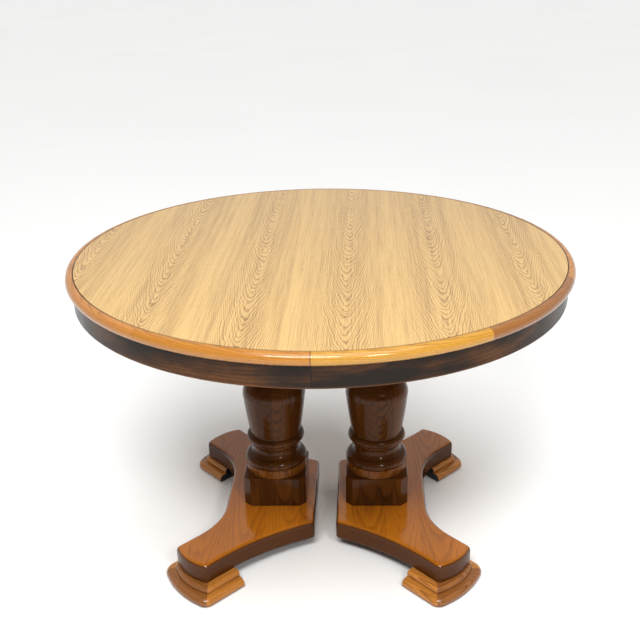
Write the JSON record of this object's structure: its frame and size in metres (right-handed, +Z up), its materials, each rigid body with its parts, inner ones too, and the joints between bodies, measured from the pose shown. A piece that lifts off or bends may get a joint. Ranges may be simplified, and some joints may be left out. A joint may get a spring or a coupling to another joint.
{
  "type": "round pedestal table",
  "caption": "Round split-top extension table with a moulded edge and apron on turned pedestals, each on a splayed half base with moulded feet.",
  "frame": {"origin": "on the floor under the middle of the closed top", "axes": "+Z up, X along the direction the halves slide apart, front at -Y"},
  "size_m": [1.219, 1.2192, 0.771],
  "materials": {
    "laminate": "satin wood-print laminate",
    "core_board": "raw board",
    "edge_oak": "glossy stained oak",
    "apron_oak": "dark stained oak",
    "foot_oak": "glossy stained oak",
    "foot_black": "black painted",
    "column_oak": "glossy dark stained oak",
    "base_oak": "glossy stained oak",
    "slide_wood": "clear hardwood",
    "steel": "zinc plated",
    "nylon": "brown nylon"
  },
  "bodies": {
    "centre_frame": {"centre_rail_front": "slide_wood", "centre_rail_back": "slide_wood", "centre_spreader": "slide_wood", "gear_pins": "steel"},
    "left_half": {"left_top_core": "core_board", "left_top_laminate": "laminate", "left_edge_moulding": "edge_oak", "left_apron": "apron_oak", "left_apron_blocks": "slide_wood", "left_end_cleat": "slide_wood", "left_mount_plate": "slide_wood", "left_plate_screws": "steel", "left_column": "column_oak", "left_tie_rod": "steel", "left_tie_nuts": "steel", "left_base_slab": "base_oak", "left_foot_core_front": "foot_black", "left_foot_core_back": "foot_black", "left_foot_moulding_front": "foot_oak", "left_foot_moulding_back": "foot_oak", "left_glides": "nylon", "left_slide_rail_front": "slide_wood", "left_slide_rail_back": "slide_wood", "left_rail_screws": "steel", "left_rack_front": "steel", "left_rack_back": "steel", "alignment_pins": "slide_wood", "latch_pivots": "steel"},
    "right_half": {"right_top_core": "core_board", "right_top_laminate": "laminate", "right_edge_moulding": "edge_oak", "right_apron": "apron_oak", "right_apron_blocks": "slide_wood", "right_end_cleat": "slide_wood", "right_mount_plate": "slide_wood", "right_plate_screws": "steel", "right_column": "column_oak", "right_tie_rod": "steel", "right_tie_nuts": "steel", "right_base_slab": "base_oak", "right_foot_core_front": "foot_black", "right_foot_core_back": "foot_black", "right_foot_moulding_front": "foot_oak", "right_foot_moulding_back": "foot_oak", "right_glides": "nylon", "right_slide_rail_front": "slide_wood", "right_slide_rail_back": "slide_wood", "right_rail_screws": "steel", "right_rack_front": "steel", "right_rack_back": "steel", "latch_keepers": "steel"},
    "pinion_front": {"pinion_front": "steel"},
    "pinion_back": {"pinion_back": "steel"},
    "latch_front": {"latch_lever_front": "steel"},
    "latch_back": {"latch_lever_back": "steel"}
  },
  "joints": [
    {"name": "right_slide", "type": "slide", "parent": "centre_frame", "child": "right_half", "axis": [1, 0, 0], "range_m": [0, 0.305]},
    {"name": "left_slide", "type": "slide", "parent": "centre_frame", "child": "left_half", "axis": [-1, 0, 0], "range_m": [0, 0.305]},
    {"name": "pinion_back_spin", "type": "hinge", "parent": "centre_frame", "child": "pinion_back", "pos_m": [0, 0.2, 0.729], "axis": [0, 0, 1], "range_deg": [0, 1249]},
    {"name": "pinion_front_spin", "type": "hinge", "parent": "centre_frame", "child": "pinion_front", "pos_m": [0, -0.2, 0.729], "axis": [0, 0, -1], "range_deg": [0, 1249]},
    {"name": "latch_back_turn", "type": "hinge", "parent": "left_half", "child": "latch_back", "pos_m": [-0.03, 0.33, 0.7375], "axis": [0, 0, -1], "range_deg": [0, 90]},
    {"name": "latch_front_turn", "type": "hinge", "parent": "left_half", "child": "latch_front", "pos_m": [-0.03, -0.33, 0.7375], "axis": [0, 0, 1], "range_deg": [0, 90]}
  ],
  "couplings": [
    {"joint": "left_slide", "follows": "right_slide", "ratio": 1},
    {"joint": "pinion_back_spin", "follows": "right_slide", "rad_per_m": 71.429},
    {"joint": "pinion_front_spin", "follows": "right_slide", "rad_per_m": 71.429}
  ]
}
